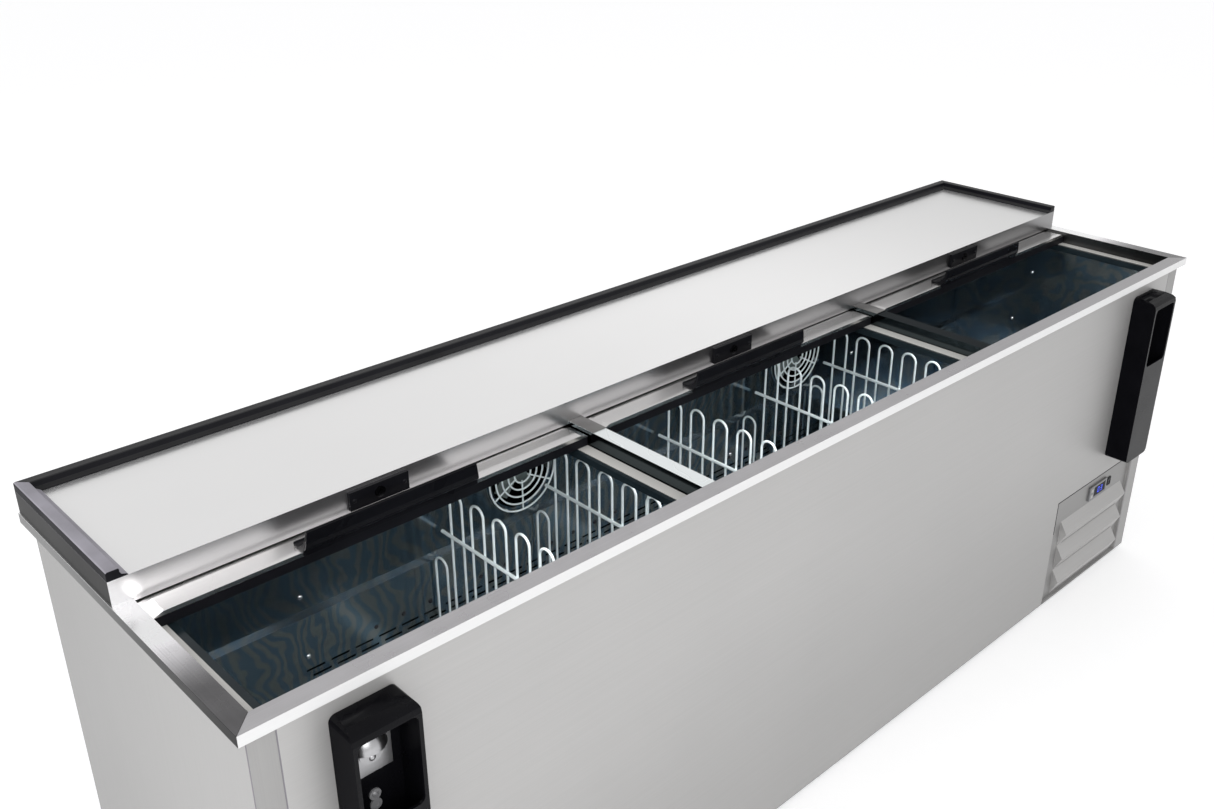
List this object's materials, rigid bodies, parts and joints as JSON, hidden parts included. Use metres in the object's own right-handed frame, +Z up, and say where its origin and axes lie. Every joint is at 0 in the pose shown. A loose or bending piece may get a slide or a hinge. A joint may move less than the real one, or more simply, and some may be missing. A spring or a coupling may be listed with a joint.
{
  "type": "chest freezer",
  "caption": "Long stainless chest cooler with front-to-back sliding lids under a raised rear worktop, wire bottle dividers, front bottle openers and a louvred machine bay.",
  "frame": {"origin": "floor level, under the centre of the bounding box", "axes": "+X to the right along the length, +Y to the back, +Z up"},
  "size_m": [2.425, 0.721, 0.85],
  "materials": {
    "stainless": "satin brushed",
    "polished_stainless": "polished",
    "galvanised": "dull zinc",
    "foam": "rigid foam",
    "black_plastic": "satin",
    "black_handle": "semi-gloss extrusion",
    "pale_glide": "waxy",
    "coated_wire": "plastic coated",
    "aluminium": "mill",
    "chrome": "plated",
    "grey_grille": "satin",
    "black_paint": "gloss",
    "rubber": "matte"
  },
  "bodies": {
    "cabinet": {"base_frame": "galvanised", "levelling_glides": "rubber", "bottom_panel": "galvanised", "front_panel": "stainless", "corner_posts": "stainless", "side_panel_left": "stainless", "side_panel_right": "stainless", "back_panel": "galvanised", "foam_core": "foam", "liner_front": "polished_stainless", "liner_back": "polished_stainless", "liner_left": "polished_stainless", "liner_right": "polished_stainless", "liner_floor": "polished_stainless", "liner_step": "polished_stainless", "rim_front": "stainless", "rim_sides": "stainless", "rim_back": "stainless", "mullions": "stainless", "track_profiles": "black_plastic", "glide_strips": "pale_glide", "rear_deck": "stainless", "deck_underside": "galvanised", "deck_trim": "black_plastic", "lock_plates": "black_plastic", "evaporator_cover": "polished_stainless", "evaporator_coil": "aluminium", "fan_guards": "coated_wire", "fan_motors": "galvanised", "dividers_left": "coated_wire", "dividers_centre": "coated_wire", "floor_racks": "coated_wire", "front_grille": "grey_grille", "thermostat": "black_plastic", "switch_frame": "black_plastic", "opener_housing_left": "black_plastic", "opener_housing_right": "black_plastic", "opener_hooks": "chrome", "unit_tray": "galvanised", "compressor": "black_paint", "condenser": "aluminium", "fixings": "chrome"},
    "lid_1": {"lid_top_1": "stainless", "lid_frame_1": "black_plastic", "lid_handle_1": "black_handle"},
    "lock_1": {"lock_cylinder_1": "chrome"},
    "lid_2": {"lid_top_2": "stainless", "lid_frame_2": "black_plastic", "lid_handle_2": "black_handle"},
    "lock_2": {"lock_cylinder_2": "chrome"},
    "lid_3": {"lid_top_3": "stainless", "lid_frame_3": "black_plastic", "lid_handle_3": "black_handle"},
    "lock_3": {"lock_cylinder_3": "chrome"},
    "set_key": {"set_button": "black_plastic"},
    "defrost_key": {"defrost_button": "black_plastic"},
    "switch_rocker": {"power_switch": "black_plastic"},
    "well_fan_1": {"evaporator_fan_1": "black_plastic"},
    "well_fan_2": {"evaporator_fan_2": "black_plastic"},
    "bay_fan": {"condenser_fan": "black_plastic"}
  },
  "joints": [
    {"name": "lid_1_slide", "type": "slide", "parent": "cabinet", "child": "lid_1", "axis": [0, -1, 0], "range_m": [0, 0.26]},
    {"name": "lid_2_slide", "type": "slide", "parent": "cabinet", "child": "lid_2", "axis": [0, -1, 0], "range_m": [0, 0.26]},
    {"name": "lid_3_slide", "type": "slide", "parent": "cabinet", "child": "lid_3", "axis": [0, -1, 0], "range_m": [0, 0.26]},
    {"name": "lock_1_turn", "type": "hinge", "parent": "cabinet", "child": "lock_1", "pos_m": [-0.79733, 0.0265, 0.8135], "axis": [0, 1, 0], "range_deg": [0, 90]},
    {"name": "lock_2_turn", "type": "hinge", "parent": "cabinet", "child": "lock_2", "pos_m": [0, 0.0265, 0.8135], "axis": [0, 1, 0], "range_deg": [0, 90]},
    {"name": "lock_3_turn", "type": "hinge", "parent": "cabinet", "child": "lock_3", "pos_m": [0.79733, 0.0265, 0.8135], "axis": [0, 1, 0], "range_deg": [0, 90]},
    {"name": "set_press", "type": "slide", "parent": "cabinet", "child": "set_key", "axis": [0, 1, 0], "range_m": [0, 0.001], "stiffness_N_per_m": 300},
    {"name": "defrost_press", "type": "slide", "parent": "cabinet", "child": "defrost_key", "axis": [0, 1, 0], "range_m": [0, 0.001], "stiffness_N_per_m": 300},
    {"name": "switch_rock", "type": "hinge", "parent": "cabinet", "child": "switch_rocker", "pos_m": [1.059, -0.2975, 0.249], "axis": [-1, 0, 0], "range_deg": [0, 12]},
    {"name": "well_fan_1_spin", "type": "hinge", "parent": "cabinet", "child": "well_fan_1", "pos_m": [-0.354, 0.2645, 0.59], "axis": [0, 1, 0], "continuous": true},
    {"name": "well_fan_2_spin", "type": "hinge", "parent": "cabinet", "child": "well_fan_2", "pos_m": [0.476, 0.2645, 0.59], "axis": [0, 1, 0], "continuous": true},
    {"name": "bay_fan_spin", "type": "hinge", "parent": "cabinet", "child": "bay_fan", "pos_m": [0.9855, -0.1835, 0.1331], "axis": [0, 1, 0], "continuous": true}
  ]
}
